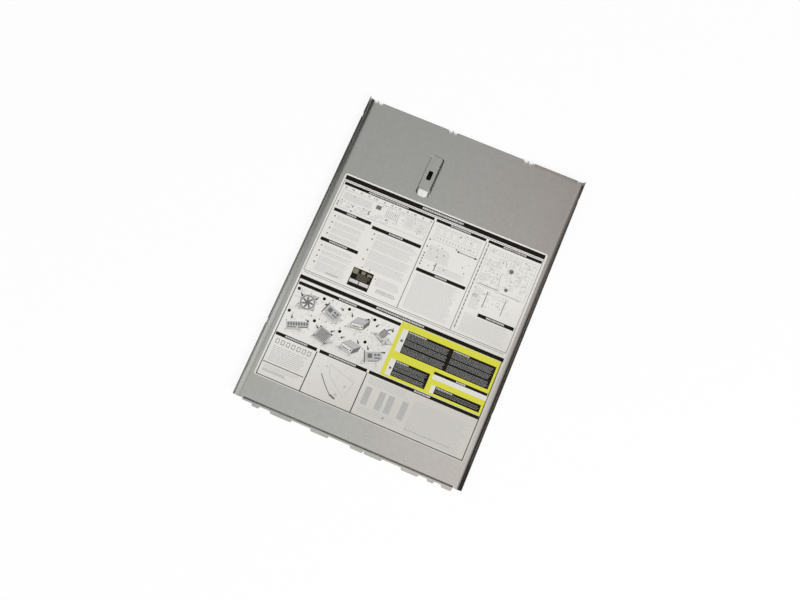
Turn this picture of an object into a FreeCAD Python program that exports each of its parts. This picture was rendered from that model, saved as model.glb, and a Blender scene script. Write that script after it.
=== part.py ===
import FreeCAD, Part
import math
import os

Vec = FreeCAD.Vector

# The panel lies on its outer face. X runs across it, +Y to its rear, +Z from the outer face to the inside.
# The origin is the middle of the outer face, halfway between the tongue tips and the rear edge. Millimetres.

# Tray: a flat sheet with a rounded fold up each long side
panel_width = 438.0
panel_length = 624.0
sheet = 1.0
flange_height = 12.0
flange_bend = 9.0
flange_reach = 3.5

# Notches in the flanges' free edges, measured to each notch's middle
notch_rear_gap = 40.0
notch_front_gap = 151.0
notch_width = 9.0
notch_depth = 4.5

# Front lip, stepped inwards by a joggle, with tongues that slide under the chassis
lip_inset_left = 8.0
lip_inset_right = 6.0
lip_land = 2.7
lip_relief = 1.0
joggle_rise = 2.6
joggle_angle = 40.0
joggle_bend = 0.8
tongue_reach = 4.0
tongue_corner = 3.0
# each tongue's middle, from the nearer end of the lip, and its width
left_tongues = ((27.5, 15.0), (76.5, 42.0), (151.5, 35.0), (222.5, 25.0))
right_tongues = ((150.0, 34.0), (80.0, 33.0), (40.5, 13.0), (10.5, 20.0))

# Rear edge: ears that flare up on both sides of a locating tooth, then a turned-up lip
ear_side_gap = 17.2
ear_pitch = 153.8
ear_count = 3
ear_width = 15.0
ear_depth = 7.0
ear_bend = 5.0
ear_angle = 50.0
ear_run = 1.6
tooth_width = 2.0
tooth_angle = 30.0
tooth_bend = 0.8
tooth_corner = 0.8
cut_width = 1.2
rear_lip_setback = 2.0
rear_lip_height = 7.0
rear_lip_bend = 0.2
rear_lip_gap = 2.0

# Latch pocket, drawn inwards, with a finger ramp at its front end
pocket_middle = -54.6
pocket_rear_gap = 61.5
pocket_rise = 9.0
pocket_top_width = 22.8
pocket_top_length = 72.2
pocket_side_run = 2.0
pocket_rear_run = 1.3
pocket_ramp_run = 12.0
pocket_top_corner = 4.5
pocket_ramp_corner = 10.5
pocket_top_round = 1.4
pocket_base_round = 1.2
slot_width = 8.8
slot_length = 18.7
slot_corner = 2.6
slot_gap = 32.15

# Label: its margins from the side bends, the pocket's foot and the tongue tips
label_left_margin = 7.0
label_right_margin = 3.5
label_pocket_gap = 10.5
label_front_gap = 54.8
label_thickness = 0.2
label_corner = 4.0

# Latch, seated in the pocket from the outer side
running_clearance = 0.05
side_clearance = 0.4
pin_radius = 1.25
pin_gap = 13.0
pin_head_radius = 2.1
pin_head = 0.7
pin_head_chamfer = 0.4
bracket_sheet = 0.8
bracket_side_gap = 2.6
bracket_bend = 0.6
bracket_front_gap = 13.3
bracket_cheek = 16.0
bracket_window_margin = 0.65
lever_side_gap = 0.9
lever_front_gap = 5.3
lever_sink = 0.4
lever_thickness = 2.0
lever_corner = 5.0
lever_edge = 0.6
lever_neck = 4.0
hub_seat = 0.6
rib_width = 6.0
rib_height = 2.2
hook_side_gap = 1.9
hook_gap = 1.85
hook_depth = 4.0
hook_nose = 3.0
hook_nose_height = 2.0
hook_sink = 0.4
hook_chamfer = 1.0
finger_lip_width = 16.0
finger_lip_height = 1.5
finger_lip_chamfer = 0.6
finger_lip_crest = 1.5
finger_lip_slope = 1.5

# How far a cut or a join runs past the face that it meets, and how closely an edge is told from others
overlap = 1.0
tolerance = 0.01

# Derived places
rear_y = panel_length / 2
tip_y = -panel_length / 2
side_x = panel_width / 2
flat_x = side_x - flange_bend - sheet
lip_left = -flat_x + lip_inset_left
lip_right = flat_x - lip_inset_right
lip_edge_y = tip_y + tongue_reach
joggle_turn = math.radians(joggle_angle)
joggle_bends = 2 * joggle_bend + sheet
joggle_slope = (joggle_rise - joggle_bends * (1 - math.cos(joggle_turn))) / math.sin(joggle_turn)
joggle_run = joggle_bends * math.sin(joggle_turn) + joggle_slope * math.cos(joggle_turn)
joggle_y = lip_edge_y + lip_land + joggle_run
flange_front_y = joggle_y - flange_reach
pocket_top = pocket_rise + sheet
pocket_rear_y = rear_y - pocket_rear_gap
pocket_front_y = pocket_rear_y - pocket_top_length
slot_rear_y = pocket_rear_y - slot_gap
slot_front_y = slot_rear_y - slot_length
bracket_half = pocket_top_width / 2 - bracket_side_gap
lever_top = lever_sink + lever_thickness
hub_radius = (pocket_rise - bracket_sheet - side_clearance - lever_top + hub_seat) / 2
pin_y = pocket_rear_y - pin_gap
pin_height = lever_top - hub_seat + hub_radius
hub_half = bracket_half - bracket_sheet - side_clearance


def box(x0, x1, y0, y1, z0, z1):
    return Part.makeBox(x1 - x0, y1 - y0, z1 - z0, Vec(x0, y0, z0))


def line(a, b):
    return Part.LineSegment(a, b).toShape()


def arc(a, b, c):
    return Part.Arc(a, b, c).toShape()


def across(radius, start_x, width):
    # a round bar along X on the pin's axis
    return Part.makeCylinder(radius, width, Vec(start_x, pin_y, pin_height), Vec(1, 0, 0))


def one_solid(shapes):
    # fuses touching solids and merges the faces that run on from each other
    body = shapes[0]
    if len(shapes) > 1:
        body = body.multiFuse(shapes[1:])
    body = body.removeSplitter()
    return body.Solids[0] if len(body.Solids) == 1 else body


def prism(edges, sweep):
    solid = Part.Face(Part.Wire(edges)).extrude(sweep)
    if solid.Volume < 0:
        solid.reverse()
    return solid


def side_profile(points, middle, width):
    # a (y, z) outline carried across the width
    corners = [Vec(middle - width / 2, y, z) for y, z in points]
    edges = [line(a, b) for a, b in zip(corners, corners[1:] + corners[:1])]
    return prism(edges, Vec(width, 0, 0))


def rounded_outline(x0, x1, y0, y1, front, rear, z):
    # rectangle with one corner radius at its front end and another at its rear end
    corners = ((x0, y0, 1, 1, front), (x1, y0, -1, 1, front), (x1, y1, -1, -1, rear), (x0, y1, 1, -1, rear))
    slack = 1 - math.sqrt(0.5)
    arcs = []
    for i, (x, y, sx, sy, r) in enumerate(corners):
        middle = Vec(x + sx * r * slack, y + sy * r * slack, z)
        along_x = Vec(x + sx * r, y, z)
        along_y = Vec(x, y + sy * r, z)
        arcs.append((along_y, middle, along_x) if i % 2 == 0 else (along_x, middle, along_y))
    edges = []
    for this, following in zip(arcs, arcs[1:] + arcs[:1]):
        edges.append(arc(*this))
        edges.append(line(this[2], following[0]))
    return edges


def rounded_plate(x0, x1, y0, y1, front, rear, z0, z1):
    return prism(rounded_outline(x0, x1, y0, y1, front, rear, z0), Vec(0, 0, z1 - z0))


def folded(moves, place, sweep, thickness):
    # a strip of sheet that follows straight runs and bends; place maps its own plane into the model
    u, w, turn = 0.0, 0.0, 0.0
    pieces = []
    for move in moves:
        n = (-math.sin(turn), math.cos(turn))
        if move[0] == "run":
            d = (n[1] * move[1], -n[0] * move[1])
            ring = [(u, w), (u + d[0], w + d[1])]
            ring += [(x + thickness * n[0], z + thickness * n[1]) for x, z in reversed(ring)]
            points = [place(x, z) for x, z in ring]
            edges = [line(a, b) for a, b in zip(points, points[1:] + points[:1])]
            u, w = u + d[0], w + d[1]
        else:
            radius, angle = move[1], math.radians(move[2])
            away = thickness + radius if angle > 0 else -radius
            cu, cw = u + away * n[0], w + away * n[1]

            def on_arc(share, lift):
                at = turn + share * angle
                reach = lift - away
                return place(cu - math.sin(at) * reach, cw + math.cos(at) * reach)

            low = [on_arc(share, 0.0) for share in (0, 0.5, 1)]
            high = [on_arc(share, thickness) for share in (0, 0.5, 1)]
            edges = [arc(*low), line(low[2], high[2]), arc(*reversed(high)), line(high[0], low[0])]
            turn += angle
            u, w = cu + math.sin(turn) * away, cw - math.cos(turn) * away
        pieces.append(prism(edges, sweep))
    return one_solid(pieces)


def make_tray():
    wall = flange_height - flange_bend - sheet
    fold = ("bend", flange_bend, 90)
    moves = (("run", wall), fold, ("run", 2 * flat_x), fold, ("run", wall))

    def place(u, w):
        # the path starts at the left flange's free edge and runs down it
        return Vec(-side_x + w, flange_front_y, flange_height - u)

    tray = folded(moves, place, Vec(0, rear_y - flange_front_y, 0), sheet)
    low, high = flange_height - notch_depth, flange_height + overlap
    for y in (rear_y - notch_rear_gap, tip_y + notch_front_gap):
        for x0, x1 in ((-side_x - overlap, -flat_x), (flat_x, side_x + overlap)):
            tray = tray.cut(box(x0, x1, y - notch_width / 2, y + notch_width / 2, low, high))
    return tray


def front_lip():
    moves = (
        ("bend", joggle_bend, joggle_angle),
        ("run", joggle_slope),
        ("bend", joggle_bend, -joggle_angle),
        ("run", lip_land),
    )
    lip = folded(moves, lambda u, w: Vec(lip_left, joggle_y - u, w), Vec(lip_right - lip_left, 0, 0), sheet)
    places = [(lip_left + gap, width) for gap, width in left_tongues]
    places += [(lip_right - gap, width) for gap, width in right_tongues]
    pieces = [lip]
    low, high = joggle_rise, joggle_rise + sheet
    corner = min(tongue_corner, tongue_reach)
    for middle, width in places:
        x0, x1 = middle - width / 2, middle + width / 2
        tongue = rounded_plate(x0, x1, tip_y, lip_edge_y + tongue_reach, corner, corner, low, high)
        pieces.append(tongue.common(box(x0, x1, tip_y, lip_edge_y, low, high)))
    return pieces


def rear_ear(middle):
    inner = tooth_width / 2 + cut_width
    outer = ear_width / 2
    start_y = rear_y - ear_depth
    flare_moves = (("bend", ear_bend, ear_angle), ("run", ear_run))
    tooth_turn = math.radians(tooth_angle)
    tooth_run = (ear_depth - (tooth_bend + sheet) * math.sin(tooth_turn)) / math.cos(tooth_turn)
    tooth_moves = (("bend", tooth_bend, tooth_angle), ("run", tooth_run))
    pieces = []
    for x0 in (middle - outer, middle + inner):
        sweep = Vec(outer - inner, 0, 0)
        pieces.append(folded(flare_moves, lambda u, w: Vec(x0, start_y + u, w), sweep, sheet))
    x0 = middle - tooth_width / 2
    tooth = folded(tooth_moves, lambda u, w: Vec(x0, start_y + u, w), Vec(tooth_width, 0, 0), sheet)
    through = [e for e in tooth.Edges if e.BoundBox.XLength < tolerance and e.Length < sheet + tolerance]
    at_tip = [e for e in through if e.BoundBox.YMax > rear_y - tolerance]
    pieces.append(tooth.makeFillet(tooth_corner, at_tip))
    return pieces


def rear_lip(x0, x1):
    start_y = rear_y - rear_lip_setback - sheet - rear_lip_bend
    moves = (("bend", rear_lip_bend, 90), ("run", rear_lip_height - rear_lip_bend - sheet))
    return folded(moves, lambda u, w: Vec(x0, start_y + u, w), Vec(x1 - x0, 0, 0), sheet)


def wall_shift(run, z, inset):
    # how far a sloping pocket wall stands out from its top edge at one height, less a thickness square to it
    return run * (pocket_top - z) / pocket_top - inset * math.hypot(pocket_top, run) / pocket_top


def pocket_section(z, inset):
    half = pocket_top_width / 2 + wall_shift(pocket_side_run, z, inset)
    y0 = pocket_front_y - wall_shift(pocket_ramp_run, z, inset)
    y1 = pocket_rear_y + wall_shift(pocket_rear_run, z, inset)
    share = (pocket_top - z) / pocket_top
    front = pocket_top_corner + (pocket_ramp_corner - pocket_top_corner) * share - inset
    rear = pocket_top_corner - inset
    return Part.Wire(rounded_outline(pocket_middle - half, pocket_middle + half, y0, y1, front, rear, z))


def pocket_form(low, high, inset, rounding):
    form = Part.makeLoft([pocket_section(low, inset), pocket_section(high, inset)], True, True)
    rim = [e for e in form.Edges if e.BoundBox.ZMin > high - tolerance]
    return form.makeFillet(rounding, rim)


def near_pocket(edge, z):
    b = edge.BoundBox
    flat = abs(b.ZMin - z) < tolerance and abs(b.ZMax - z) < tolerance
    reach = pocket_top_width / 2 + pocket_side_run + overlap
    beside = abs(b.XMin - pocket_middle) < reach and abs(b.XMax - pocket_middle) < reach
    low_y = pocket_front_y - pocket_ramp_run - overlap
    return flat and beside and b.YMin > low_y and b.YMax < pocket_rear_y + pocket_rear_run + overlap


def make_panel():
    tray = make_tray()
    first_ear = -side_x + ear_side_gap
    last_ear = first_ear + (ear_count - 1) * ear_pitch
    ear_reach = ear_width / 2 + cut_width
    lip_x0 = last_ear + ear_reach + rear_lip_gap
    lip_x1 = flat_x - rear_lip_gap
    lip_start = rear_y - rear_lip_setback - sheet - rear_lip_bend
    low, high = -overlap, sheet + overlap
    tray = tray.cut(box(lip_left - lip_relief, lip_right + lip_relief, tip_y, joggle_y, low, high))
    tray = tray.cut(box(lip_x0, lip_x1, lip_start, rear_y + overlap, low, high))
    pieces = front_lip() + [rear_lip(lip_x0 + cut_width, lip_x1 - cut_width)]
    for i in range(ear_count):
        middle = first_ear + i * ear_pitch
        x0, x1 = middle - ear_reach, middle + ear_reach
        tray = tray.cut(box(x0, x1, rear_y - ear_depth, rear_y + overlap, low, high))
        pieces += rear_ear(middle)
    pieces.append(pocket_form(0, pocket_top, 0, pocket_top_round))
    body = one_solid([tray] + pieces)
    body = body.cut(pocket_form(-overlap, pocket_rise, sheet, pocket_top_round - sheet))
    body = body.makeFillet(pocket_base_round, [e for e in body.Edges if near_pocket(e, sheet)])
    body = body.makeFillet(pocket_base_round + sheet, [e for e in body.Edges if near_pocket(e, 0)])
    x0, x1 = pocket_middle - slot_width / 2, pocket_middle + slot_width / 2
    low, high = pocket_rise - overlap, pocket_top + overlap
    slot = rounded_plate(x0, x1, slot_front_y, slot_rear_y, slot_corner, slot_corner, low, high)
    return one_solid([body.cut(slot)])


def make_label():
    x0, x1 = -flat_x + label_left_margin, flat_x - label_right_margin
    y0 = tip_y + label_front_gap
    y1 = pocket_front_y - pocket_ramp_run - label_pocket_gap
    return rounded_plate(x0, x1, y0, y1, label_corner, label_corner, sheet, sheet + label_thickness)


def make_bracket():
    half_flat = bracket_half - bracket_bend - bracket_sheet
    cheek_low = lever_top + side_clearance
    cheek_run = pocket_rise - bracket_bend - bracket_sheet - cheek_low
    cheek_y0 = pin_y - bracket_cheek / 2
    base_y0 = pocket_front_y + bracket_front_gap
    moves = (("run", half_flat), ("bend", bracket_bend, 90), ("run", cheek_run))
    sweep = Vec(0, bracket_cheek, 0)
    x0, x1 = pocket_middle - half_flat, pocket_middle + half_flat
    pieces = [box(x0, x1, base_y0, cheek_y0, pocket_rise - bracket_sheet, pocket_rise)]
    for side in (-1, 1):
        def place(u, w):
            return Vec(pocket_middle + side * u, cheek_y0, pocket_rise - w)

        pieces.append(folded(moves, place, sweep, bracket_sheet))
    body = one_solid(pieces)
    reach = slot_width / 2 + bracket_window_margin
    window_y0, window_y1 = slot_front_y - bracket_window_margin, slot_rear_y + bracket_window_margin
    body = body.cut(box(pocket_middle - reach, pocket_middle + reach, window_y0, window_y1, 0, pocket_top))
    return one_solid([body.cut(across(pin_radius, pocket_middle - bracket_half, 2 * bracket_half))])


def make_pin():
    pieces = [across(pin_radius, pocket_middle - bracket_half, 2 * bracket_half)]
    for side, start_x in ((-1, pocket_middle - bracket_half - pin_head), (1, pocket_middle + bracket_half)):
        head = across(pin_head_radius, start_x, pin_head)
        outer_x = pocket_middle + side * (bracket_half + pin_head)
        rim = [e for e in head.Edges if e.BoundBox.XLength < tolerance]
        rim = [e for e in rim if abs(e.BoundBox.Center.x - outer_x) < tolerance]
        pieces.append(head.makeChamfer(pin_head_chamfer, rim))
    return one_solid(pieces)


def make_lever():
    half = pocket_top_width / 2 + wall_shift(pocket_side_run, lever_top, sheet) - lever_side_gap
    front_y = pocket_front_y + lever_front_gap
    wide_y = pin_y - lever_neck
    x0, x1 = pocket_middle - half, pocket_middle + half
    plate = rounded_plate(x0, x1, front_y, wide_y, lever_corner, lever_edge, lever_sink, lever_top)
    outer_rim = [e for e in plate.Edges if e.BoundBox.ZMax < lever_sink + tolerance]
    plate = plate.makeFillet(lever_edge, outer_rim)
    hub_x0, hub_x1 = pocket_middle - hub_half, pocket_middle + hub_half
    neck = box(hub_x0, hub_x1, wide_y - lever_neck, pin_y, lever_sink, lever_top)
    hub = across(hub_radius, hub_x0, 2 * hub_half)
    root = lever_top - overlap
    hook_y = slot_front_y + hook_gap
    rib_top = lever_top + rib_height
    rib_points = ((hook_y, root), (pin_y, root), (pin_y, rib_top), (hook_y, rib_top))
    rib = side_profile(rib_points, pocket_middle, rib_width)
    hook_top = pocket_top - hook_sink
    nose_low = hook_top - hook_nose_height
    back_y = hook_y + hook_depth
    nose_y = back_y + hook_nose
    hook_points = (
        (hook_y, root),
        (back_y, root),
        (back_y, nose_low),
        (nose_y, nose_low),
        (nose_y, hook_top - hook_chamfer),
        (nose_y - hook_chamfer, hook_top),
        (hook_y + hook_chamfer, hook_top),
        (hook_y, hook_top - hook_chamfer),
    )
    hook = side_profile(hook_points, pocket_middle, slot_width - 2 * hook_side_gap)
    lip_y = front_y + lever_edge
    crest_y = lip_y + finger_lip_chamfer
    slope_y = crest_y + finger_lip_crest
    lip_top = lever_top + finger_lip_height
    lip_points = (
        (lip_y, root),
        (lip_y, lip_top - finger_lip_chamfer),
        (crest_y, lip_top),
        (slope_y, lip_top),
        (slope_y + finger_lip_slope, lever_top),
        (slope_y + finger_lip_slope, root),
    )
    finger_lip = side_profile(lip_points, pocket_middle, finger_lip_width)
    body = one_solid([plate, neck, hub, rib, hook, finger_lip])
    return one_solid([body.cut(across(pin_radius + running_clearance, hub_x0, 2 * hub_half))])


os.makedirs("parts", exist_ok=True)
nodes = {
    "access_panel": make_panel(),
    "service_label": make_label(),
    "latch_bracket": make_bracket(),
    "latch_pin": make_pin(),
    "latch_lever": make_lever(),
}
for name, shape in nodes.items():
    shape.exportStep("parts/" + name + ".step")
    print(name, len(shape.Solids), "solid, valid", shape.isValid(), "volume", round(shape.Volume, 1))
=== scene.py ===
import math

import bpy
import numpy as np
from mathutils import Euler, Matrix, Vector


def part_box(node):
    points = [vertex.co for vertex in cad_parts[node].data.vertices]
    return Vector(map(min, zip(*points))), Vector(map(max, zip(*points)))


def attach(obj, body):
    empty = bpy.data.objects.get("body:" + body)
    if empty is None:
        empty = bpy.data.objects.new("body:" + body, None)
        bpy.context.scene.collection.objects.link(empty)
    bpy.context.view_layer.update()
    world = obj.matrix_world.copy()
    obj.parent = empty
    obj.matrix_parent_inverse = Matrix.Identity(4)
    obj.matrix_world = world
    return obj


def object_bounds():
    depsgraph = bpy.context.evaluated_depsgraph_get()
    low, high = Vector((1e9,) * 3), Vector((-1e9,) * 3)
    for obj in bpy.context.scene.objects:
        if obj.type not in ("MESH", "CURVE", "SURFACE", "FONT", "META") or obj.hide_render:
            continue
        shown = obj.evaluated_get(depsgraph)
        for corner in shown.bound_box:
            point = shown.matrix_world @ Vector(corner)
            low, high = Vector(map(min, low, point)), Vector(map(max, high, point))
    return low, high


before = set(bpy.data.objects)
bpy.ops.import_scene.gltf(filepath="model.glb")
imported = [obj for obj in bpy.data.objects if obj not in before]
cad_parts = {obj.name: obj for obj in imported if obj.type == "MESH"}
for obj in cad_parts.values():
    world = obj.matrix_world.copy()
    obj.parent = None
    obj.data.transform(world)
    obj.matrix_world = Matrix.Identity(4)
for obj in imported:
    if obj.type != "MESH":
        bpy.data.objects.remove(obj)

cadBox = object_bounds()
scene = bpy.context.scene
scene.view_settings.view_transform = "Standard"
print("frame:", sorted(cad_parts))

# camera: in front of the panel and to its right, looking down
cameraSetup = {
    "place": (0.1327, -0.4185, 1.7766),  # metres
    "turn": (13.13, -0.56, 23.00),  # degrees
    "focalPixels": 1000.0,
    "imageWidth": 800.0,
    "sensorWidth": 36.0,
}


def addCamera(setup):
    data = bpy.data.cameras.new("camera")
    data.sensor_fit = "HORIZONTAL"
    data.sensor_width = setup["sensorWidth"]
    data.lens = setup["focalPixels"] * setup["sensorWidth"] / setup["imageWidth"]
    camera = bpy.data.objects.new("camera", data)
    camera.location = setup["place"]
    camera.rotation_euler = Euler([math.radians(angle) for angle in setup["turn"]], "XYZ")
    scene.collection.objects.link(camera)
    scene.camera = camera


addCamera(cameraSetup)
print("camera: lens", scene.camera.data.lens)


def addNode(tree, kind, inputs=None, **settings):
    # an input given as another node's output is linked, any other value is set on the socket
    node = tree.nodes.new(kind)
    for name, value in settings.items():
        setattr(node, name, value)
    for name, value in (inputs or {}).items():
        if isinstance(value, bpy.types.NodeSocket):
            tree.links.new(value, node.inputs[name])
        else:
            node.inputs[name].default_value = value
    return node


def newMaterial(name):
    material = bpy.data.materials.new(name)
    material.use_nodes = True
    tree = material.node_tree
    place = addNode(tree, "ShaderNodeTexCoord").outputs["Object"]
    return material, tree, tree.nodes["Principled BSDF"], place


def stretched(tree, place, scale, turn=0.0):
    inputs = {"Vector": place, "Scale": scale, "Rotation": (0.0, 0.0, math.radians(turn))}
    return addNode(tree, "ShaderNodeMapping", inputs).outputs["Vector"]


def noise(tree, vector, scale, detail=2.0, roughness=0.5):
    inputs = {"Vector": vector, "Scale": scale, "Detail": detail, "Roughness": roughness}
    return addNode(tree, "ShaderNodeTexNoise", inputs).outputs["Fac"]


def ranged(tree, value, low, high, fromLow=0.3, fromHigh=0.7):
    inputs = {"Value": value, "From Min": fromLow, "From Max": fromHigh, "To Min": low, "To Max": high}
    return addNode(tree, "ShaderNodeMapRange", inputs).outputs["Result"]


def maths(tree, operation, first, second=0.0):
    return addNode(tree, "ShaderNodeMath", {0: first, 1: second}, operation=operation).outputs[0]


def mixed(tree, factor, first, second, blend="MIX"):
    inputs = {0: factor, 6: first, 7: second}
    return addNode(tree, "ShaderNodeMix", inputs, data_type="RGBA", blend_type=blend).outputs[2]


def shaded(tree, colour, shade):
    # a colour times one number
    grey = addNode(tree, "ShaderNodeCombineColor", {0: shade, 1: shade, 2: shade}).outputs[0]
    return mixed(tree, 1.0, colour, grey, "MULTIPLY")


def bump(tree, height, strength, distance):
    inputs = {"Height": height, "Strength": strength, "Distance": distance}
    return addNode(tree, "ShaderNodeBump", inputs).outputs["Normal"]


def opaque(colour):
    return (*colour, 1.0)


def seenDirectly(tree):
    # one for rays from the camera, from mirrors and through glass, nought for the rest
    path = addNode(tree, "ShaderNodeLightPath")
    seen = maths(tree, "MAXIMUM", path.outputs["Is Camera Ray"], path.outputs["Is Glossy Ray"])
    return maths(tree, "MAXIMUM", seen, path.outputs["Is Transmission Ray"])


# zinc-plated sheet: cool and warm patches, rolling lines along the length, fine crystals,
# smudges and scratches, and painted shade along the side bends
zincLook = {
    "cool": (0.600, 0.608, 0.568),
    "warm": (0.640, 0.594, 0.560),
    "tintX": (-0.06, 0.20),  # metres, where the tint turns from cool to warm
    "paintedFoldShade": ((-0.2065, -0.2105, 0.68), (0.2105, 0.2145, 0.36)),  # start, end, tone of the painted shade on the side bends, darker on the right
    "patchScale": 3.4,
    "patchSwing": 0.3,
    "lineStretch": (900.0, 12.0, 900.0),
    "lineTone": 0.02,
    "lineRoughness": 0.025,
    "lineBump": (0.1, 0.00004),  # strength, metres
    "crystalScale": 170.0,
    "crystalTone": (0.98, 1.01),
    "smudgeScale": 14.0,
    "smudgeDetail": (5.0, 0.6),  # detail and roughness of the noise
    "scratchStretch": (420.0, 9.0, 420.0),
    "scratchTurn": 17.0,
    "scratchFrom": (0.74, 0.80),  # noise levels at which a scratch starts and is whole
    "scratchTone": 0.05,
    "roughness": (0.22, 0.26),
}


def zincMaterial(name, look):
    material, tree, shader, place = newMaterial(name)
    x = addNode(tree, "ShaderNodeSeparateXYZ", {"Vector": place}).outputs["X"]
    swing, lineTone, lineRoughness = look["patchSwing"], look["lineTone"], look["lineRoughness"]
    patches = ranged(tree, noise(tree, place, look["patchScale"], detail=1.0), -swing, swing)
    warmth = maths(tree, "ADD", ranged(tree, x, 0.0, 1.0, *look["tintX"]), patches)
    tint = mixed(tree, warmth, opaque(look["cool"]), opaque(look["warm"]))
    lines = noise(tree, stretched(tree, place, look["lineStretch"]), scale=1.0)
    crystals = addNode(tree, "ShaderNodeTexVoronoi", {"Vector": place, "Scale": look["crystalScale"]})
    crystalTone = addNode(tree, "ShaderNodeRGBToBW", {"Color": crystals.outputs["Color"]}).outputs[0]
    scratches = stretched(tree, place, look["scratchStretch"], look["scratchTurn"])
    scratches = noise(tree, scratches, scale=1.0, detail=1.0)
    scratches = ranged(tree, scratches, 0.0, look["scratchTone"], *look["scratchFrom"])
    shade = ranged(tree, crystalTone, *look["crystalTone"])
    shade = maths(tree, "ADD", shade, ranged(tree, lines, -lineTone, lineTone))
    shade = maths(tree, "ADD", shade, scratches)
    # painted shade: the base colour is darkened along the side bends
    for start, end, tone in look["paintedFoldShade"]:
        shade = maths(tree, "MULTIPLY", shade, ranged(tree, x, 1.0, tone, start, end))
    smudges = noise(tree, place, look["smudgeScale"], *look["smudgeDetail"])
    rough = ranged(tree, smudges, *look["roughness"])
    rough = maths(tree, "ADD", rough, ranged(tree, lines, -lineRoughness, lineRoughness))
    tree.links.new(shaded(tree, tint, shade), shader.inputs["Base Color"])
    tree.links.new(maths(tree, "ADD", rough, scratches), shader.inputs["Roughness"])
    tree.links.new(bump(tree, lines, *look["lineBump"]), shader.inputs["Normal"])
    shader.inputs["Metallic"].default_value = 1.0
    return material


# label sheet: faintly mottled paper, a little greyer and warmer towards its front right corner
paperLook = {
    "rearTone": (0.820, 0.802, 0.764),
    "frontTone": (0.610, 0.587, 0.547),
    "turnWay": (-0.6, 1.0, 0.0),
    "turnEnds": (-0.06, -0.25),  # metres along that way, between the two tones
    "fibreScale": 420.0,
    "fibreDetail": (4.0, 0.65),  # detail and roughness of the noise
    "fibreTone": (0.975, 1.015),
    "fibreBump": (0.1, 0.00003),  # strength, metres
    "roughness": (0.55, 0.70),
    "specular": 0.15,
}


def paperMaterial(name, look):
    material, tree, shader, place = newMaterial(name)
    inputs = {0: place, 1: look["turnWay"]}
    along = addNode(tree, "ShaderNodeVectorMath", inputs, operation="DOT_PRODUCT").outputs["Value"]
    front = ranged(tree, along, 0.0, 1.0, *look["turnEnds"])
    tone = mixed(tree, front, opaque(look["rearTone"]), opaque(look["frontTone"]))
    fibres = noise(tree, place, look["fibreScale"], *look["fibreDetail"])
    tone = shaded(tree, tone, ranged(tree, fibres, *look["fibreTone"]))
    tree.links.new(tone, shader.inputs["Base Color"])
    tree.links.new(ranged(tree, fibres, *look["roughness"]), shader.inputs["Roughness"])
    tree.links.new(bump(tree, fibres, *look["fibreBump"]), shader.inputs["Normal"])
    shader.inputs["Specular IOR Level"].default_value = look["specular"]
    return material


# moulded lever: black plastic with a fine spark-eroded grain and handled patches
leverLook = {
    "tone": (0.006, 0.006, 0.007),
    "worn": (0.014, 0.014, 0.015),
    "grainScale": 1500.0,
    "grainBump": (0.35, 0.00005),  # strength, metres
    "wearScale": 90.0,
    "wearFrom": (0.5, 0.8),  # noise levels at which wear starts and is whole
    "roughness": (0.50, 0.66),
    "specular": 0.12,
}


def leverMaterial(name, look):
    material, tree, shader, place = newMaterial(name)
    grain = noise(tree, place, look["grainScale"], detail=3.0)
    handled = noise(tree, place, look["wearScale"], detail=3.0)
    handled = ranged(tree, handled, 0.0, 1.0, *look["wearFrom"])
    colour = mixed(tree, handled, opaque(look["tone"]), opaque(look["worn"]))
    tree.links.new(colour, shader.inputs["Base Color"])
    tree.links.new(ranged(tree, grain, *look["roughness"]), shader.inputs["Roughness"])
    tree.links.new(bump(tree, grain, *look["grainBump"]), shader.inputs["Normal"])
    shader.inputs["Specular IOR Level"].default_value = look["specular"]
    return material


# bracket and pin: brighter zinc with finer marks
bracketLook = dict(
    zincLook,
    cool=(0.55, 0.56, 0.55),
    warm=(0.60, 0.58, 0.54),
    tintX=(-1.0, 1.0),
    patchScale=60.0,
    lineStretch=(60.0, 1500.0, 1500.0),
    crystalScale=900.0,
    smudgeScale=160.0,
    roughness=(0.26, 0.38),
)

zinc = zincMaterial("zincPlate", zincLook)
paper = paperMaterial("labelPaper", paperLook)
bracketSteel = zincMaterial("brightZinc", bracketLook)
leverPlastic = leverMaterial("leverPlastic", leverLook)
finishes = {
    "access_panel": zinc,
    "service_label": paper,
    "latch_bracket": bracketSteel,
    "latch_pin": bracketSteel,
    "latch_lever": leverPlastic,
}
for nodeName, finish in finishes.items():
    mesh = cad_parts[nodeName].data
    mesh.materials.clear()
    mesh.materials.append(finish)
print("finishes:", len(finishes))

# label print: places are millimetres across from the sheet's left edge and down from its rear edge
labelLow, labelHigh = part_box("service_label")
printSheet = {
    "layer": 0.02,
    "seed": 7,
    "planLine": 0.7,
    "fineLine": 0.6,
    "paleLine": 0.8,
    "smallRound": 16,  # corners of small discs
    "largeRound": 32,
}
planLine, fineLine, paleLine = printSheet["planLine"], printSheet["fineLine"], printSheet["paleLine"]
smallRound, largeRound = printSheet["smallRound"], printSheet["largeRound"]
rng = np.random.default_rng(printSheet["seed"])
printed = {"Black": [], "Olive": [], "Grey": [], "Pale": [], "Faint": [], "Yellow": [], "White": []}


def rectLoops(rows):
    # each row is a left, right, rear and front edge;
    # the loop runs front left, front right, rear right, rear left
    rows = np.asarray(rows, float).reshape(-1, 4)
    return np.stack([rows[:, [0, 1, 1, 0]], rows[:, [3, 3, 2, 2]]], -1)


def strokeLoops(points, width, closed=False):
    # one strip for each step from point to point; its corners stand half a width to each side of the line
    points = np.asarray(points, float)
    start = points if closed else points[:-1]
    end = np.roll(points, -1, 0)[: len(start)]
    along = (end - start) / np.linalg.norm(end - start, axis=1, keepdims=True)
    side = np.stack([-along[:, 1], along[:, 0]], -1) * width / 2
    return np.stack([start + side, end + side, end - side, start - side], 1)


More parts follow.
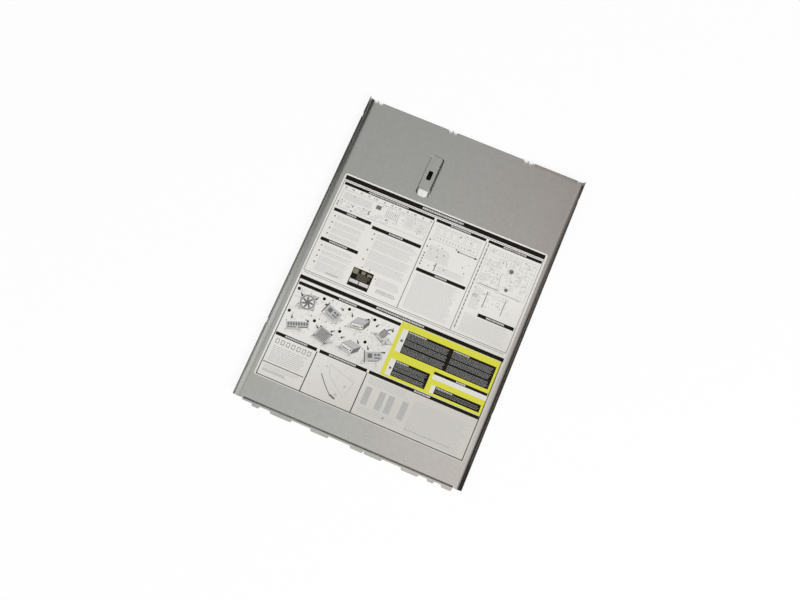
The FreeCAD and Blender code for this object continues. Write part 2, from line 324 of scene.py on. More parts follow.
def discLoops(rows, corners=24):
    # each row is a centre and a radius; the corners step evenly round the circle
    rows = np.asarray(rows, float).reshape(-1, 3)
    turn = -np.linspace(0.0, 2 * np.pi, corners, endpoint=False)
    ring = np.stack([np.cos(turn), np.sin(turn)], -1)
    return rows[:, None, 0:2] + rows[:, 2, None, None] * ring[None]


def repeatedAcross(left, pitch, count, width, rear, front):
    # equal rectangles in a row, one pitch apart
    start = left + pitch * np.arange(count)
    return np.column_stack([start, start + width, np.full(count, rear), np.full(count, front)])


def repeatedDown(rear, pitch, count, depth, left, right):
    # equal rectangles one below the other, one pitch apart
    start = rear + pitch * np.arange(count)
    return np.column_stack([np.full(count, left), np.full(count, right), start, start + depth])


def outlineRows(rows, width):
    # four strips round each rectangle, the side strips between the other two
    left, right, rear, front = np.asarray(rows, float).reshape(-1, 4).T
    return np.concatenate([
        np.column_stack([left, right, rear, rear + width]),
        np.column_stack([left, right, front - width, front]),
        np.column_stack([left, left + width, rear + width, front - width]),
        np.column_stack([right - width, right, rear + width, front - width]),
    ])


def wordRows(left, right, rear, front, pitch, height, words=(2.5, 8.0), gap=0.9, ragged=0.1):
    # lines of words: random widths added up along each line, kept where they end inside the column
    lines = np.arange(rear, front - height, pitch)
    count = int((right - left) / words[0]) + 1
    width = rng.uniform(*words, (len(lines), count))
    end = left + np.cumsum(width + gap, axis=1) - gap
    limit = right - (right - left) * ragged * rng.random((len(lines), 1))
    top = np.broadcast_to(lines[:, None], end.shape)
    rows = np.stack([end - width, end, top, top + height], -1)
    return rows[end <= limit]


def strewnRows(left, right, rear, front, cell, share, sizes=(0.25, 0.85)):
    # small rectangles on a grid: each has a random size and place in its own cell,
    # and a share of them is kept
    u, v = np.meshgrid(np.arange(left, right - cell, cell), np.arange(rear, front - cell, cell))
    size = rng.uniform(*sizes, (2, *u.shape)) * cell
    shift = rng.random((2, *u.shape)) * (cell - size)
    left, rear = u + shift[0], v + shift[1]
    rows = np.stack([left, left + size[0], rear, rear + size[1]], -1).reshape(-1, 4)
    return rows[rng.random(len(rows)) < share]


def stamp(ink, layer, loops, centre=(0.0, 0.0), turn=0.0, size=1.0):
    # shapes scaled and turned about their own zero point and carried to a centre on the sheet
    c, s = math.cos(math.radians(turn)), math.sin(math.radians(turn))
    printed[ink].append((layer, size * loops @ np.array([[c, s], [-s, c]]) + centre))


def plates(name, groups, finish):
    # thin closed plates: each loop is carried from the sheet up to its layer's top,
    # with a lid, a base and walls
    points, faces, first = [], [], 0
    for layer, loops in groups:
        count, corners = loops.shape[:2]
        x = labelLow.x + loops[..., 0] / 1000
        y = labelHigh.y - loops[..., 1] / 1000
        base = np.stack([x, y, np.full_like(x, labelHigh.z)], -1)
        lid = base + (0.0, 0.0, (layer + 1) * printSheet["layer"] / 1000)
        points.append(np.stack([base, lid], 1).reshape(-1, 3))
        number = first + np.arange(count * 2 * corners).reshape(count, 2, corners)
        low, high = number[:, 0], number[:, 1]
        walls = np.stack([low, np.roll(low, -1, 1), np.roll(high, -1, 1), high], -1)
        faces += low[:, ::-1].tolist() + high.tolist() + walls.reshape(-1, 4).tolist()
        first += number.size
    mesh = bpy.data.meshes.new(name)
    mesh.from_pydata(np.concatenate(points).tolist(), [], faces)
    mesh.materials.append(finish)
    piece = bpy.data.objects.new(name, mesh)
    scene.collection.objects.link(piece)
    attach(piece, "panel")
    print("print:", name, len(mesh.polygons), "faces")


# heading bars: left, right, rear, front, and the stretch where the heading's words stand
headingBars = [
    (3.1, 403.5, 3.3, 11.3, 159, 246),
    (6.2, 187.5, 16.5, 21.5, 55, 138),
    (192.0, 291.3, 16.5, 21.5, 221, 262),
    (296.3, 401.5, 16.5, 21.5, 326, 372),
    (8.0, 82.5, 70.8, 76.3, 34, 55),
    (87.0, 185.0, 75.8, 81.8, 121, 151),
    (8.0, 82.5, 132.0, 137.8, 25, 64),
    (193.0, 290.0, 117.0, 122.8, 230, 254),
    (329.5, 400.0, 153.3, 159.3, 346, 384),
    (3.0, 404.0, 212.8, 219.5, 155, 251),
    (6.2, 208.0, 225.3, 230.8, 86, 125),
    (6.2, 87.0, 327.0, 332.5, 25, 69),
    (92.5, 185.2, 327.0, 332.5, 111, 164),
    (189.5, 401.2, 327.0, 332.5, 277, 312),
]
headingStyle = {
    "wordTop": 0.22,  # shares of the bar's depth
    "wordHeight": 0.50,
    "words": ((1.2, 3.8), 0.8, 0.03),  # widths, gap, ragged share
    "spread": 0.3,
}
spread = headingStyle["spread"]
for left, right, rear, front, wordsFrom, wordsTo in headingBars:
    depth = front - rear
    line = rear + headingStyle["wordTop"] * depth
    height = headingStyle["wordHeight"] * depth
    rows = wordRows(wordsFrom, wordsTo, line, front, depth, height, *headingStyle["words"])
    stamp("Black", 0, rectLoops([(left, right, rear - spread, front + spread)]))
    stamp("Faint", 1, rectLoops(rows))

# frames and column lines
ruledLines = {  # frames: edges and line width; lines: edges
    "upperFrame": ((3.2, 403.4, 13.4, 202.6), 1.0),
    "middleLine": (6.0, 400.0, 205.0, 205.8),
    "lowerFrame": ((3.6, 402.9, 212.8, 411.2), 1.5),
    "columns": [
        (188.3, 189.4, 22.0, 202.0),
        (292.9, 293.8, 22.0, 202.0),
        (87.9, 89.7, 332.5, 410.2),
        (186.0, 187.8, 332.5, 410.2),
        (6.0, 85.0, 384.4, 385.7),
    ],
    "dashes": (24.0, 8.6, 20, 7.0, 297.9, 299.7),  # first, pitch, count, length, left, right
}
stamp("Grey", 0, rectLoops(outlineRows(*ruledLines["upperFrame"])))
stamp("Grey", 0, rectLoops([ruledLines["middleLine"]]))
stamp("Black", 0, rectLoops(outlineRows(*ruledLines["lowerFrame"])))
stamp("Black", 0, rectLoops(ruledLines["columns"]))
stamp("Grey", 0, rectLoops(repeatedDown(*ruledLines["dashes"])))

# coloured fields in the lower section, with dark blocks of words and blank squares
colourFields = {
    "yellow": (208.4, 401.6, 220.6, 325.6),
    "darkBlocks": [
        (226.3, 312.2, 232.6, 276.2),
        (313.4, 397.0, 232.6, 276.2),
        (226.3, 292.2, 290.6, 320.6),
        (309.9, 397.2, 307.0, 321.0),
    ],
    "darkJoint": (312.2, 313.4, 232.6, 276.2),
    "blanks": [
        (215.6, 226.3, 232.6, 276.2),
        (215.6, 226.3, 290.6, 322.0),
        (302.0, 309.9, 307.0, 322.0),
        (297.5, 401.6, 288.0, 296.8),
    ],
    "blankMarks": [(221.0, 254.5, 2.6), (221.2, 308.0, 2.4)],
    "bar": (297.5, 400.2, 283.0, 288.0),
    "barWords": (340.0, 360.0, 284.1, 288.0, 5.0, 2.6, (1.4, 3.6), 0.8, 0.03),
    "margin": 1.6,
    "paragraphs": ((0.0, 0.30), (0.36, 0.62), (0.70, 1.0)),  # shares of the depth below the first line
    "leadShare": 0.45,  # of the block's width that its first, larger line takes
    "lead": (1.5, 1.9),  # its place and height
    "leadWords": ((2.0, 5.0), 0.8),  # widths, gap
    "lines": (4.6, 2.0, 0.48),  # first line, pitch, height
    "words": ((1.4, 5.0), 0.6, 0.04),  # widths, gap, ragged share
}
stamp("Yellow", 0, rectLoops([colourFields["yellow"]]))
stamp("White", 1, rectLoops(colourFields["blanks"]))
stamp("Black", 1, rectLoops(colourFields["darkBlocks"] + [colourFields["darkJoint"]]))
leadAt, leadHeight = colourFields["lead"]
firstLine, linePitch, lineHeight = colourFields["lines"]
margin = colourFields["margin"]
for left, right, rear, front in colourFields["darkBlocks"]:
    start, end, top = left + margin, right - margin, rear + firstLine
    leadEnd = start + colourFields["leadShare"] * (end - start)
    rows = wordRows(start, leadEnd, rear + leadAt, top, firstLine, leadHeight, *colourFields["leadWords"])
    stamp("Faint", 2, rectLoops(rows))
    depth = front - margin - top
    for first, last in colourFields["paragraphs"]:
        lines = top + first * depth, top + last * depth
        rows = wordRows(start, end, *lines, linePitch, lineHeight, *colourFields["words"])
        stamp("Pale", 2, rectLoops(rows))
stamp("Black", 2, rectLoops([colourFields["bar"]]))
stamp("Faint", 3, rectLoops(wordRows(*colourFields["barWords"])))
stamp("Grey", 2, discLoops(colourFields["blankMarks"]))

# text columns: left, right, rear, front
textColumns = [
    (20, 80, 82, 93), (20, 80, 96, 106), (20, 80, 108, 119), (20, 80, 121, 130),
    (20, 80, 144, 153), (20, 80, 155, 164), (20, 80, 166, 176), (20, 80, 178, 196),
    (102, 184, 87, 97), (102, 184, 99, 118), (102, 184, 120, 138), (102, 184, 140, 157),
    (134, 184, 164, 181), (199, 246, 68, 96), (228, 286, 100, 113), (197, 286, 127, 198),
    (306, 326, 108, 150), (306, 398, 163, 198), (306, 322, 160, 163),
]
frontColumns = [
    (286, 396, 346, 405), (12, 82, 352, 381), (12, 80, 389, 394),
    (195, 276, 337, 349), (195, 276, 393, 404),
]
strongLines = [
    (12, 60, 396.5, 401.0), (141, 180, 184.5, 191.0),
    (286, 386, 398.6, 400.6), (44, 70, 191.5, 194.0),
]
textStyle = {  # pitch and height, then the widths of words and their gap where they aren't the usual ones
    "plain": (2.0, 1.05),
    "front": (3.4, 1.2),
    "strong": (1.9, 0.6, (1.5, 5.0), 0.7),
}
for column in textColumns:
    stamp("Faint", 0, rectLoops(wordRows(*column, *textStyle["plain"])))
for column in frontColumns:
    stamp("Pale", 0, rectLoops(wordRows(*column, *textStyle["front"])))
for column in strongLines:
    stamp("Grey", 1, rectLoops(wordRows(*column, *textStyle["strong"])))

# step marks beside the text
stepMarks = {
    "left": (15.0, (85.8, 98.8, 110.3, 122.0, 147.0, 157.8, 168.3, 180.8)),
    "middle": (96.3, (89.5, 100.0, 122.0, 142.0)),
    "right": (195.2, (58.0, 72.0, 86.0, 91.5, 97.0, 102.5, 108.0)),
}
markRadius = 1.55
for across, downs in stepMarks.values():
    stamp("Grey", 1, discLoops([(across, down, markRadius) for down in downs], smallRound))
print("layout:", len(headingBars), "bars,", len(textColumns), "text columns")

# board plan in the upper left: a plain outline with slots, sockets, a row of connectors and small fittings
boardPlan = {
    "outline": (9.0, 184.0, 30.0, 66.0),
    "field": (35.0, 1.8, 8, 0.9, 14.0, 70.0),  # first, pitch, count, depth, left, right
    "block": (78.8, 88.6, 35.2, 43.2),
    "ports": (10.0, 15.6, 12, 4.0, 24.2, 28.0),  # left, pitch, count, width, rear, front
    "slots": (100.0, 3.4, 8, 1.3, 37.0, 52.0),
    "sockets": [(138.0, 158.0, 36.0, 56.0), (162.0, 180.0, 38.0, 56.0)],
    "socketInset": 3.0,
    "socketRows": (3.0, 5, 1.0),  # pitch, count, depth
    "fittings": [
        (12.0, 75.0, 51.0, 66.0, 6.0, 0.6),
        (88.0, 184.0, 30.5, 37.0, 5.5, 0.8),
        (76.0, 136.0, 53.0, 66.0, 6.0, 0.7),
    ],
    "specks": (10.0, 184.0, 23.0, 67.0, 6.5, 0.16, (0.12, 0.3)),
    "screws": [
        (9.0, 57.0), (9.0, 62.0), (38.0, 56.5), (70.5, 55.0), (71.0, 58.6), (105.5, 56.5), (38.4, 66.0),
    ],
}
stamp("Pale", 0, rectLoops(outlineRows(boardPlan["outline"], planLine)))
stamp("Faint", 0, rectLoops(repeatedDown(*boardPlan["field"])))
stamp("Grey", 1, rectLoops([boardPlan["block"]]))
stamp("Pale", 0, rectLoops(repeatedAcross(*boardPlan["ports"])))
stamp("Pale", 0, rectLoops(repeatedAcross(*boardPlan["slots"])))
stamp("Pale", 0, rectLoops(outlineRows(boardPlan["sockets"], planLine)))
inset = boardPlan["socketInset"]
for left, right, rear, front in boardPlan["sockets"]:
    rows = repeatedDown(rear + inset, *boardPlan["socketRows"], left + inset, right - inset)
    stamp("Pale", 0, rectLoops(rows))
for area in boardPlan["fittings"]:
    stamp("Pale", 1, rectLoops(outlineRows(strewnRows(*area), fineLine)))
stamp("Grey", 2, rectLoops(strewnRows(*boardPlan["specks"])))
stamp("Grey", 1, discLoops([(u, v, markRadius) for u, v in boardPlan["screws"]], smallRound))

# bay plan in the middle column, with a double arrow under its right part
bayPlan = {
    "outline": (200.0, 286.0, 27.0, 56.0),
    "bays": (204.0, 13.4, 6, 10.6, 30.0, 44.0),
    "pins": (206.0, 6.0, 13, 1.6, 47.5, 52.5),
    "specks": (200.0, 288.0, 26.0, 112.0, 9.0, 0.14, (0.12, 0.3)),
    "riser": (222.6, 224.4, 96.0, 112.0),
    "arrow": (249.0, 290.0, 60.5, 1.1),  # left, right, place, width
    "head": (5.0, 2.3),  # length, half width
}
stamp("Pale", 0, rectLoops(outlineRows(bayPlan["outline"], planLine)))
stamp("Pale", 0, rectLoops(outlineRows(repeatedAcross(*bayPlan["bays"]), fineLine)))
stamp("Pale", 0, rectLoops(repeatedAcross(*bayPlan["pins"])))
stamp("Grey", 2, rectLoops(strewnRows(*bayPlan["specks"])))
stamp("Grey", 1, rectLoops([bayPlan["riser"]]))
left, right, down, width = bayPlan["arrow"]
head, half = bayPlan["head"]
stamp("Black", 1, strokeLoops([(left + head, down), (right - head, down)], width))
stamp("Black", 1, np.array([
    [(left, down), (left + head, down + half), (left + head, down - half)],
    [(right, down), (right - head, down - half), (right - head, down + half)],
]))

# rail plan in the right column: a rack outline with rails, rungs and small fittings
railPlan = {
    "outline": (304.0, 398.0, 28.0, 103.0),
    "uprights": [(330.3, 331.7, 109.5, 141.0), (366.8, 368.0, 111.0, 143.0), (307.0, 347.0, 99.3, 100.5)],
    "discs": [(356.6, 57.4, 4.3), (360.0, 93.6, 3.4)],
    "holes": (32.0, 4.4, 10, 1.5, 349.0, 350.5),
    "rungs": (36.0, 7.2, 8, 0.7, 312.0, 338.0),
    "fittings": [(352.0, 396.0, 30.0, 100.0, 7.0, 0.55), (306.0, 346.0, 30.0, 98.0, 9.0, 0.4)],
    "panels": (306.0, 398.0, 30.0, 148.0, 11.0, 0.5, (0.4, 0.95)),
    "panelLine": 1.0,
    "specks": (304.0, 398.0, 28.0, 150.0, 7.0, 0.13, (0.12, 0.32)),
    "braces": [(341.0, 40.0, 345.0, 54.0), (341.0, 70.0, 344.0, 92.0), (352.0, 36.0, 364.0, 40.0),
               (384.0, 37.0, 388.0, 41.0), (372.0, 60.0, 376.0, 64.0), (353.0, 103.5, 390.0, 103.5)],
    "braceWidth": 1.5,
}
stamp("Pale", 0, rectLoops(outlineRows(railPlan["outline"], fineLine)))
stamp("Grey", 1, rectLoops(railPlan["uprights"]))
stamp("Faint", 0, rectLoops(repeatedDown(*railPlan["rungs"])))
stamp("Faint", 0, rectLoops(outlineRows(strewnRows(*railPlan["panels"]), railPlan["panelLine"])))
stamp("Pale", 0, rectLoops(repeatedDown(*railPlan["holes"])))
for area in railPlan["fittings"]:
    stamp("Pale", 1, rectLoops(outlineRows(strewnRows(*area), fineLine)))
stamp("Grey", 2, rectLoops(strewnRows(*railPlan["specks"])))
stamp("Grey", 3, discLoops(railPlan["discs"]))
for u0, v0, u1, v1 in railPlan["braces"]:
    stamp("Pale", 2, strokeLoops([(u0, v0), (u1, v1)], railPlan["braceWidth"]))

# sample card: dark bands with light fields
sampleCard = {
    "whole": (87.0, 127.0, 161.3, 197.2),
    "greys": [(88.5, 98.0, 163.0, 172.5), (104.0, 111.5, 163.5, 169.0), (115.5, 124.5, 165.0, 169.0)],
    "lights": [(88.4, 105.8, 183.6, 190.2), (107.4, 125.6, 183.6, 190.2)],
    "words": (99.0, 125.0, 170.6, 182.0, 2.4, 0.9, (1.4, 4.0), 0.7),
    "ticks": [(100.8, 156.6, 1.2), (115.6, 156.6, 1.2), (132.0, 168.0, 1.0)],
    "tickCorners": 12,
}
stamp("Black", 0, rectLoops([sampleCard["whole"]]))
stamp("Olive", 1, rectLoops(sampleCard["greys"]))
stamp("Faint", 1, rectLoops(sampleCard["lights"]))
stamp("Olive", 1, rectLoops(wordRows(*sampleCard["words"])))
stamp("Grey", 1, discLoops(sampleCard["ticks"], sampleCard["tickCorners"]))
print("plans: board, bay, rail and card")

# drawings: millimetres from each one's own middle; a rectangle is left, right, rear and front,
# and a row of them is its first edge, pitch, count, size and the two ends that all share
slantWay = np.array((0.45, -0.6))  # across and down for each millimetre of depth


def boxQuads(width, depth, height):
    # a box drawn on the slant: its top, its front and its right end
    slant = slantWay * depth
    a, b = np.array((-width / 2, 0.0)), np.array((width / 2, 0.0))
    down = np.array((0.0, height))
    return [np.array([loop]) for loop in (
        (a, b, b + slant, a + slant),
        (a + down, b + down, b, a),
        (b + down, b + down + slant, b + slant, b),
    )]


tray = {"box": (27.0, 24.0, 4.0), "line": 0.6, "ribs": 4, "ribPitch": 5.4, "ribLine": 0.5}


def traySketch(place):
    # a shallow tray drawn on the slant behind a part, with ribs across its floor
    top, front, end = boxQuads(*tray["box"])
    stamp("Faint", 0, top, *place)
    for face in (top, front, end):
        stamp("Pale", 1, strokeLoops(face[0], tray["line"], closed=True), *place)
    steps = np.arange(1, tray["ribs"] + 1)[:, None]
    ribRun = slantWay * tray["box"][1]
    for rib in top[0][0] + np.array((tray["ribPitch"], 0.0)) * steps:
        stamp("Pale", 1, strokeLoops([rib, rib + ribRun], tray["ribLine"]), *place)


blower = {
    "plate": (-12.0, 12.0, -12.0, 12.0),
    "rim": (0.0, 0.0, 11.0),  # centre, radius
    "opening": (0.0, 0.0, 9.6),
    "hub": (0.0, 0.0, 3.6),
    "bladeStep": 51.43,  # degrees
    "bladeEnds": (3.0, 8.8),
    "bladeLean": 2.2,
    "bladeWidth": 2.6,
}


def blowerMotif(place):
    # a round blower in a square frame: blades stand evenly round a hub and lean at their tips
    angles = np.radians(np.arange(0, 360, blower["bladeStep"]))
    spokes = np.stack([np.cos(angles), np.sin(angles)], -1)
    lean = spokes[:, ::-1] * (-blower["bladeLean"], blower["bladeLean"])
    inner, outer = blower["bladeEnds"]
    stamp("Pale", 2, rectLoops([blower["plate"]]), *place)
    stamp("Grey", 3, discLoops([blower["rim"]], largeRound), *place)
    stamp("White", 4, discLoops([blower["opening"]], largeRound), *place)
    for root, tip in zip(spokes * inner, spokes * outer + lean):
        stamp("Grey", 5, strokeLoops([root, tip], blower["bladeWidth"]), *place)
    stamp("Grey", 6, discLoops([blower["hub"]]), *place)


card = {
    "board": (-13.0, 13.0, -7.0, 6.0),
    "chips": [
        (-9.0, -2.0, -4.5, 2.5), (1.0, 4.5, -4.0, -0.5), (6.0, 9.5, -4.0, -0.5), (1.0, 10.0, 1.5, 3.5),
    ],
    "contacts": (-8.0, 1.5, 11, 0.8, 6.0, 8.0),
    "bracket": (-14.4, -13.2, -9.5, 10.0),
}


def cardMotif(place):
    # a plug-in card: a board with chips, a row of contacts and an end bracket
    stamp("Pale", 2, rectLoops([card["board"]]), *place)
    stamp("Grey", 3, rectLoops(card["chips"]), *place)
    stamp("Grey", 3, rectLoops(repeatedAcross(*card["contacts"])), *place)
    stamp("Black", 3, rectLoops([card["bracket"]]), *place)


drive = {"box": (20.0, 16.0, 8.0), "rim": 0.7, "slot": (-7.5, 4.0, 4.6, 6.0), "button": (7.0, 4.0, 1.2)}


def driveMotif(place):
    # a box on the slant with a drawer front
    width, depth, height = drive["box"]
    for ink, loops in zip(("Pale", "White", "Grey"), boxQuads(width, depth, height)):
        stamp(ink, 2, loops, *place)
    rim = outlineRows([(-width / 2, width / 2, 0.0, height)], drive["rim"])
    stamp("Grey", 3, rectLoops(rim), *place)
    stamp("Grey", 3, rectLoops([drive["slot"]]), *place)
    stamp("Black", 3, discLoops([drive["button"]], smallRound), *place)


finBlock = {
    "plate": (-12.0, 12.0, -10.0, 10.0),
    "fins": (-8.4, 2.0, 9, 1.2, -8.6, 8.6),
    "screws": (10.4, 8.4, 1.2),  # across and down from the middle, radius
}


def finMotif(place):
    # a finned block on a plate with four screws
    across, down, radius = finBlock["screws"]
    screws = [(u, v, radius) for u in (-across, across) for v in (-down, down)]
    stamp("Pale", 2, rectLoops([finBlock["plate"]]), *place)
    stamp("Grey", 3, rectLoops(repeatedAcross(*finBlock["fins"])), *place)
    stamp("Black", 3, discLoops(screws, smallRound), *place)


memoryStrip = {
    "board": (-17.0, 17.0, -4.5, 3.5),
    "chips": (-15.0, 4.0, 8, 2.6, -3.0, 1.4),
    "edges": [(-16.0, -2.0, 3.5, 5.0), (1.0, 16.0, 3.5, 5.0)],
}


def stripMotif(place):
    # a memory strip: a long board with square chips and a notched edge
    stamp("Pale", 2, rectLoops([memoryStrip["board"]]), *place)
    stamp("Grey", 3, rectLoops(repeatedAcross(*memoryStrip["chips"])), *place)
    stamp("Grey", 3, rectLoops(memoryStrip["edges"]), *place)


plug = {
    "body": (-5.0, 5.0, -7.0, 4.0),
    "ribs": (-5.5, 2.4, 4, 1.0, -4.0, 4.0),
    "pins": (-3.6, 2.2, 4, 1.0, 4.0, 7.5),
    "tail": [(0.0, -7.0), (1.0, -12.0), (5.0, -15.0)],
    "tailWidth": 2.0,
}


def plugMotif(place):
    # a cable plug: a body with ribs, a nose with pins and a short tail
    stamp("Grey", 2, rectLoops([plug["body"]]), *place)
    stamp("Pale", 3, rectLoops(repeatedDown(*plug["ribs"])), *place)
    stamp("Grey", 2, rectLoops(repeatedAcross(*plug["pins"])), *place)
    stamp("Grey", 2, strokeLoops(plug["tail"], plug["tailWidth"]), *place)


arrow = {"shaft": [(-4.0, 0.0), (0.8, 0.0)], "width": 1.4, "head": [(0.6, 2.3), (4.4, 0.0), (0.6, -2.3)]}


def moveArrow(place):
    # an arrow: a shaft and a three-cornered head
    stamp("Black", 7, strokeLoops(arrow["shaft"], arrow["width"]), *place)
    stamp("Black", 7, np.array([arrow["head"]]), *place)


# step pictures: plain parts in two rows, each on a tray, with a mark, two arrows and a few specks
stepPictures = {
    "first": (11.3, 238.4),
    "pitch": (50.0, 44.5),
    "markRadius": 3.0,
    "partAt": (24.5, 18.0),
    "partSize": 1.2,
    "trayAt": (19.0, 30.0),
    "arrowsAt": ((9.0, 8.0), (38.0, 5.0)),
    "fittings": (8.0, 206.0, 234.0, 324.0, 8.0, 0.45),
    "specks": (8.0, 206.0, 234.0, 324.0, 8.0, 0.14, (0.1, 0.3)),
    "rows": [  # motif, its turn and its arrows' turns
        [
            (blowerMotif, -14, 40, 120), (cardMotif, 18, 150, 20),
            (driveMotif, -8, 60, -30), (plugMotif, 28, 120, 75),
        ],
        [
            (stripMotif, -20, 75, 10), (finMotif, 16, 35, 140),
            (driveMotif, 10, 140, 50), (cardMotif, -22, 60, -15),
        ],
    ],
}
for row, parts in enumerate(stepPictures["rows"]):
    for column, (motif, partTurn, *arrowTurns) in enumerate(parts):
        mark = np.array(stepPictures["first"]) + np.array(stepPictures["pitch"]) * (column, row)
        stamp("Black", 0, discLoops([(*mark, stepPictures["markRadius"])]))
        traySketch((mark + stepPictures["trayAt"], partTurn))
        motif((mark + stepPictures["partAt"], partTurn, stepPictures["partSize"]))
        for arrowAt, arrowTurn in zip(stepPictures["arrowsAt"], arrowTurns):
            moveArrow((mark + arrowAt, arrowTurn))
stamp("Faint", 0, rectLoops(outlineRows(strewnRows(*stepPictures["fittings"]), paleLine)))
stamp("Grey", 7, rectLoops(strewnRows(*stepPictures["specks"])))

# lower boxes: a row of blank boxes, a tool drawing and pale gauge columns
lowerBoxes = {
    "boxRow": (12.0, 10.4, 7, 6.4, 338.2, 346.8),
    "boxLine": 1.0,
    "tool": [(112.0, 366.0), (128.0, 384.0), (140.0, 395.0)],
    "toolWidth": 1.6,
    "grip": [(140.0, 395.0), (152.0, 399.0)],
    "gripWidth": 3.6,
    "plate": [(120.0, 345.0), (172.0, 358.0), (164.0, 392.0), (148.0, 380.0), (126.0, 362.0)],
    "plateLine": 0.9,
    "toolMarks": [(160.0, 372.0, 2.6), (150.5, 391.5, 3.0), (116.0, 350.0, 1.6)],
    "fittings": (96.0, 182.0, 336.0, 406.0, 8.0, 0.4),
    "gauges": (196.3, 222.5, 240.0, 266.3),
    "gaugeWidth": 11.4,
    "gaugeEnds": (354.5, 388.4),
    "gaugeLine": 0.45,
    "gaugePitch": 3.4,
    "gaugeRows": 10,
    "dot": (244.5, 397.0, 1.6),
}
stamp("Grey", 0, rectLoops(outlineRows(repeatedAcross(*lowerBoxes["boxRow"]), lowerBoxes["boxLine"])))
stamp("Faint", 0, rectLoops(outlineRows(strewnRows(*lowerBoxes["fittings"]), paleLine)))
stamp("Grey", 1, strokeLoops(lowerBoxes["tool"], lowerBoxes["toolWidth"]))
stamp("Grey", 1, strokeLoops(lowerBoxes["grip"], lowerBoxes["gripWidth"]))
stamp("Pale", 1, strokeLoops(lowerBoxes["plate"], lowerBoxes["plateLine"], closed=True))
stamp("Pale", 1, discLoops(lowerBoxes["toolMarks"]))
rear, front = lowerBoxes["gaugeEnds"]
gaugeLine = lowerBoxes["gaugeLine"]
for left in lowerBoxes["gauges"]:
    right = left + lowerBoxes["gaugeWidth"]
    rows = repeatedDown(rear, lowerBoxes["gaugePitch"], lowerBoxes["gaugeRows"], gaugeLine, left, right)
    stamp("Pale", 1, rectLoops([(left, right, rear, front)]))
    stamp("Grey", 2, rectLoops(rows))
stamp("Grey", 1, discLoops([lowerBoxes["dot"]], smallRound))
print("pictures:", sum(len(parts) for parts in stepPictures["rows"]))

# inks: the solid tone with small thin spots of print
inkLooks = {
    "Black": {"tone": (0.008, 0.007, 0.005), "thin": (0.021, 0.018, 0.013), "roughness": 0.60},
    "Olive": {"tone": (0.235, 0.210, 0.148), "thin": (0.295, 0.265, 0.196), "roughness": 0.60},
    "Grey": {"tone": (0.155, 0.155, 0.148), "thin": (0.218, 0.218, 0.211), "roughness": 0.60},
    "Pale": {"tone": (0.490, 0.492, 0.483), "thin": (0.555, 0.557, 0.548), "roughness": 0.55},
    "Faint": {"tone": (0.620, 0.607, 0.582), "thin": (0.670, 0.657, 0.632), "roughness": 0.55},
    "Yellow": {"tone": (0.680, 0.668, 0.061), "thin": (0.693, 0.681, 0.100), "roughness": 0.60},
    "White": {"tone": (0.740, 0.724, 0.685), "thin": (0.700, 0.686, 0.652), "roughness": 0.60},
}
inkSpots = {
    "noise": (700.0, 4.0, 0.6),  # scale, detail, roughness
    "thinFrom": (0.45, 0.80),  # noise levels at which the ink starts to thin and is thinnest
    "rougher": 0.15,
    "specular": 0.15,
}


def inkMaterial(name, look):
    material, tree, shader, place = newMaterial(name)
    thin = ranged(tree, noise(tree, place, *inkSpots["noise"]), 0.0, 1.0, *inkSpots["thinFrom"])
    colour = mixed(tree, thin, opaque(look["tone"]), opaque(look["thin"]))
    rough = ranged(tree, thin, look["roughness"], look["roughness"] + inkSpots["rougher"], 0.0, 1.0)
    tree.links.new(colour, shader.inputs["Base Color"])
    tree.links.new(rough, shader.inputs["Roughness"])
    shader.inputs["Specular IOR Level"].default_value = inkSpots["specular"]
    return material


for ink, look in inkLooks.items():
    plates("label" + ink + "Print", printed[ink], inkMaterial("ink" + ink, look))

# floor: white to the camera and in reflections; it keeps a share of the shadow round the panel
# and all of it underneath
floorSetup = {
    "half": 12.0,
    "drop": 0.0002,  # below the panel's outer face
    "tone": 0.95,
    "roughness": 0.9,
    "shadowShare": 0.10,
    "underInset": 0.002,  # the full shadow stops this far inside the panel's sides and rear edge
    "underFront": 0.012,
}


def addFloor(setup):
    # a square of four points just under the plane that the panel rests on
    half = setup["half"]
    corners = np.array([(-half, -half), (half, -half), (half, half), (-half, half)])
    points = np.column_stack([corners, np.full(4, cadBox[0][2] - setup["drop"])])
    mesh = bpy.data.meshes.new("floor")
    mesh.from_pydata(points.tolist(), [], [(0, 1, 2, 3)])
    floor = bpy.data.objects.new("floor", mesh)
    scene.collection.objects.link(floor)
    material, tree, shader, place = newMaterial("floorPaper")
    shader.inputs["Base Color"].default_value = opaque((setup["tone"],) * 3)
    shader.inputs["Roughness"].default_value = setup["roughness"]
    seen = seenDirectly(tree)
    parts = addNode(tree, "ShaderNodeSeparateXYZ", {"Vector": place})
    across = maths(tree, "ABSOLUTE", parts.outputs["X"])
    beside = maths(tree, "GREATER_THAN", across, cadBox[1][0] - setup["underInset"])
    behind = maths(tree, "GREATER_THAN", parts.outputs["Y"], cadBox[1][1] - setup["underInset"])
    before = maths(tree, "LESS_THAN", parts.outputs["Y"], cadBox[0][1] + setup["underFront"])
    clear = maths(tree, "MAXIMUM", beside, maths(tree, "MAXIMUM", behind, before))
    share = maths(tree, "MULTIPLY", maths(tree, "MULTIPLY", seen, clear), 1.0 - setup["shadowShare"])
    inputs = {"Color": opaque((1.0, 1.0, 1.0)), "Strength": 1.0}
    glow = addNode(tree, "ShaderNodeEmission", inputs).outputs[0]
    mix = addNode(tree, "ShaderNodeMixShader", {0: share, 1: shader.outputs[0], 2: glow}).outputs[0]
    tree.links.new(mix, tree.nodes["Material Output"].inputs["Surface"])
    mesh.materials.append(material)


addFloor(floorSetup)

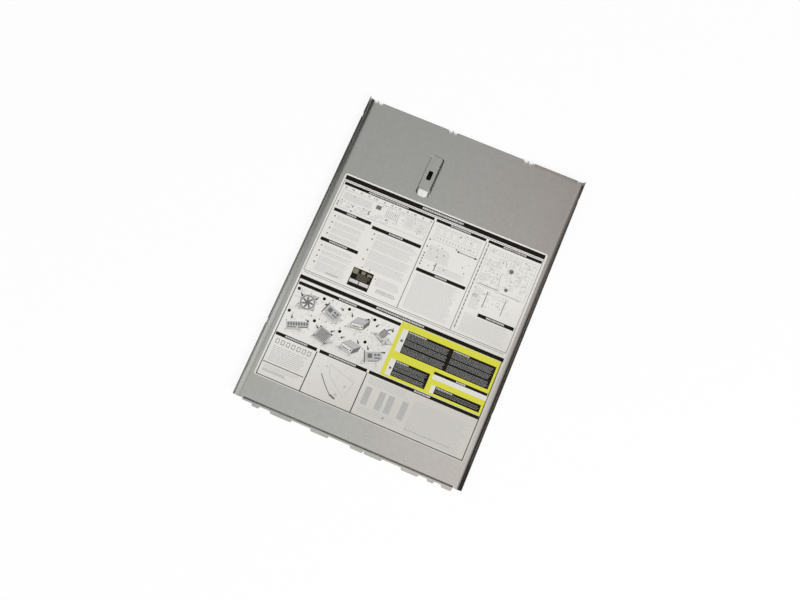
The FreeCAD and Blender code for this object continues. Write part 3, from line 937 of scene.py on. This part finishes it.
# studio: light from overhead, from the front, the right and the left rear, dim elsewhere,
# and a white backdrop along the horizon; every way is a unit vector,
# and each pair gives the two places along one axis between which a light fades
skySetup = {
    "low": 0.04,
    "overhead": 0.80,
    "overheadLeft": (-0.75, -0.05),
    "overheadRight": (0.16, 0.06),
    "overheadFront": (-0.50, -0.25),
    "overheadRear": (0.95, 0.08),
    "right": 1.75,
    "rightStart": (0.06, 0.16),
    "rightFront": (-0.03, 0.07),
    "rightRear": (0.24, 0.16),
    "front": 1.00,
    "frontStart": (-0.62, -0.85),
    "frontDim": 0.35,
    "frontDimStart": (-0.20, -0.45),
    "rear": 1.20,
    "rearStart": (0.31, 0.43),
    "rearSide": (-0.20, -0.60),
    "backdropEdge": (0.08, 0.04),  # the white backdrop along the horizon fades out upwards
}
lampSetup = {"name": "frontLamp", "place": (4.6, -4.4, 4.4), "size": (3.2, 2.4), "power": 500.0}


def addSky(setup):
    world = bpy.data.worlds.new("studio")
    scene.world = world
    world.use_nodes = True
    tree = world.node_tree
    way = addNode(tree, "ShaderNodeTexCoord").outputs["Generated"]
    parts = addNode(tree, "ShaderNodeSeparateXYZ", {"Vector": way}).outputs

    def light(strength, **fades):
        # a strength times its fades along X, Y and Z
        level = strength
        for axis, ends in fades.values():
            level = maths(tree, "MULTIPLY", ranged(tree, parts[axis], 0.0, 1.0, *ends), level)
        return level

    lights = (
        light(setup["overhead"], left=("X", setup["overheadLeft"]), right=("X", setup["overheadRight"]),
              front=("Y", setup["overheadFront"]), rear=("Y", setup["overheadRear"])),
        light(setup["right"], start=("X", setup["rightStart"]), front=("Y", setup["rightFront"]),
              rear=("Y", setup["rightRear"])),
        light(setup["front"], start=("Y", setup["frontStart"])),
        light(setup["frontDim"], start=("Y", setup["frontDimStart"])),
        light(setup["rear"], start=("Y", setup["rearStart"]), side=("X", setup["rearSide"])),
        light(seenDirectly(tree), edge=("Z", setup["backdropEdge"])),
    )
    total = setup["low"]
    for one in lights:
        total = maths(tree, "ADD", one, total)
    background = tree.nodes["Background"]
    background.inputs["Color"].default_value = opaque((1.0, 1.0, 1.0))
    tree.links.new(total, background.inputs["Strength"])


def addLamp(setup):
    data = bpy.data.lights.new(setup["name"], "AREA")
    data.shape = "RECTANGLE"
    data.size, data.size_y = setup["size"]
    data.energy = setup["power"]
    lamp = bpy.data.objects.new(setup["name"], data)
    lamp.location = setup["place"]
    lamp.rotation_euler = (-Vector(setup["place"])).to_track_quat("-Z", "Y").to_euler()
    lamp.visible_glossy = False  # the metal mirrors the soft sky only
    scene.collection.objects.link(lamp)


addSky(skySetup)
addLamp(lampSetup)
print("studio: sky and", lampSetup["name"])
